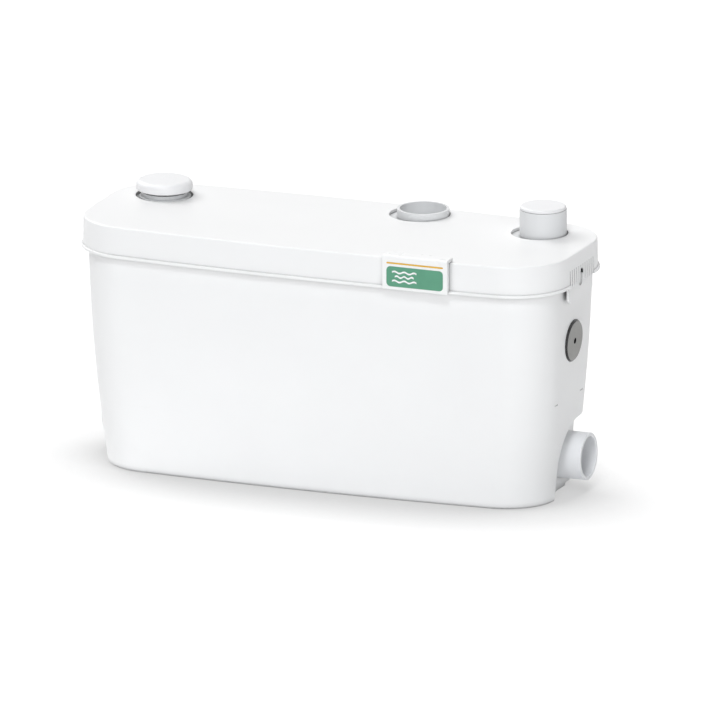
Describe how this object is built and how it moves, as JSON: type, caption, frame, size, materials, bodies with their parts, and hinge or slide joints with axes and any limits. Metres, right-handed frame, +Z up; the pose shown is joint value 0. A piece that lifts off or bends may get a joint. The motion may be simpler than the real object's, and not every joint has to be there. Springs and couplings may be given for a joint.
{
  "type": "waste-water lifting unit",
  "caption": "Small floor-standing waste-water lifting unit: tapered tank with lift-off lid, capped vent, open outlet socket, plugged top inlet and a side inlet, with the pump hung inside.",
  "frame": {"origin": "middle of the tank's plan, on the floor it stands on", "axes": "+X along the tank to its right-hand end with the open side inlet, +Y to the back where the outlet is, +Z up"},
  "size_m": [0.5164, 0.2018, 0.2828],
  "materials": {
    "shell_white": "smooth satin-gloss moulded ABS, brilliant white",
    "deck_white": "moulded polypropylene, satin",
    "cap_white": "moulded polypropylene, satin gloss",
    "badge_white": "glossy white clip with a plain green inset",
    "spigot_white": "moulded polypropylene, satin",
    "plug_grey": "mid-grey moulded plastic with a darker glossy bevel",
    "rubber_black": "black moulded rubber",
    "rubber_grey": "grey rubber pads",
    "steel": "stainless steel",
    "bearing_steel": "ground bearing steel",
    "aluminium": "die-cast aluminium",
    "stator_steel": "stacked electrical steel",
    "copper": "enamelled copper wire",
    "ceramic": "ceramic seal seat",
    "carbon": "carbon seal face in its holder",
    "inner_grey": "glass-filled plastic, dark grey",
    "switch_black": "black switch plastic",
    "board_green": "glass-epoxy circuit board",
    "terminal_green": "green terminal plastic",
    "capacitor_silver": "aluminium can",
    "gland_grey": "grey nylon",
    "filter_black": "carbon foam"
  },
  "bodies": {
    "tank_unit": {"tank": "shell_white", "tank_base": "shell_white", "deck": "deck_white", "deck_seal": "rubber_black", "deck_screws": "steel", "right_inlet": "spigot_white", "left_inlet": "spigot_white", "inlet_flap_pin": "steel", "motor_housing": "aluminium", "stator": "stator_steel", "windings": "copper", "bearing_plate": "aluminium", "upper_bearing": "bearing_steel", "lower_bearing": "bearing_steel", "shaft_seal_seat": "ceramic", "motor_screws": "steel", "pump_casing": "inner_grey", "strainer": "inner_grey", "discharge_elbow": "inner_grey", "riser_hose": "rubber_black", "hose_clamps": "steel", "valve_body": "inner_grey", "valve_pin": "steel", "level_tube": "inner_grey", "switch_base": "switch_black", "switch_membrane": "rubber_black", "switch_cover": "switch_black", "microswitch": "switch_black", "control_box": "inner_grey", "circuit_board": "board_green", "relay": "switch_black", "terminal_block": "terminal_green", "capacitor": "capacitor_silver", "control_cover": "deck_white", "cable_gland": "gland_grey", "gland_locknut": "gland_grey", "rear_feet": "rubber_grey"},
    "lid_unit": {"lid": "shell_white", "badge": "badge_white"},
    "vent_cap_unit": {"vent_cap": "cap_white", "carbon_filter": "filter_black"},
    "top_plug_unit": {"top_plug": "cap_white", "top_plug_ring": "rubber_black"},
    "side_plug_unit": {"side_plug": "plug_grey", "side_plug_ring": "rubber_black"},
    "left_cap_unit": {"left_cap": "cap_white"},
    "inlet_flap_unit": {"inlet_flap": "rubber_black"},
    "valve_flap_unit": {"valve_flap": "rubber_black"},
    "rotor_unit": {"shaft": "steel", "rotor_core": "stator_steel", "seal_ring": "carbon", "impeller": "inner_grey", "impeller_nut": "steel"},
    "plunger_unit": {"switch_plunger": "spigot_white"}
  },
  "joints": [
    {"name": "lid_lift", "type": "slide", "parent": "tank_unit", "child": "lid_unit", "axis": [0, 0, 1], "range_m": [0, 0.1]},
    {"name": "vent_cap_lift", "type": "slide", "parent": "tank_unit", "child": "vent_cap_unit", "axis": [0, 0, 1], "range_m": [0, 0.05]},
    {"name": "top_plug_lift", "type": "slide", "parent": "tank_unit", "child": "top_plug_unit", "axis": [0, 0, 1], "range_m": [0, 0.03]},
    {"name": "side_plug_pull", "type": "slide", "parent": "tank_unit", "child": "side_plug_unit", "axis": [0.9982, 0, -0.0593], "range_m": [0, 0.03]},
    {"name": "left_cap_pull", "type": "slide", "parent": "tank_unit", "child": "left_cap_unit", "axis": [-1, 0, 0], "range_m": [0, 0.03]},
    {"name": "inlet_flap_swing", "type": "hinge", "parent": "tank_unit", "child": "inlet_flap_unit", "pos_m": [0.2115, 0.028, 0.064], "axis": [0, 1, 0], "range_deg": [0, 60]},
    {"name": "valve_flap_swing", "type": "hinge", "parent": "tank_unit", "child": "valve_flap_unit", "pos_m": [0.0615, 0.046, 0.218], "axis": [1, 0, 0], "range_deg": [0, 50]},
    {"name": "rotor_spin", "type": "hinge", "parent": "tank_unit", "child": "rotor_unit", "pos_m": [-0.02, 0.01, 0.1], "axis": [0, 0, 1], "continuous": true},
    {"name": "plunger_push", "type": "slide", "parent": "tank_unit", "child": "plunger_unit", "axis": [0, 0, 1], "range_m": [0, 0.0015], "stiffness_N_per_m": 200}
  ]
}
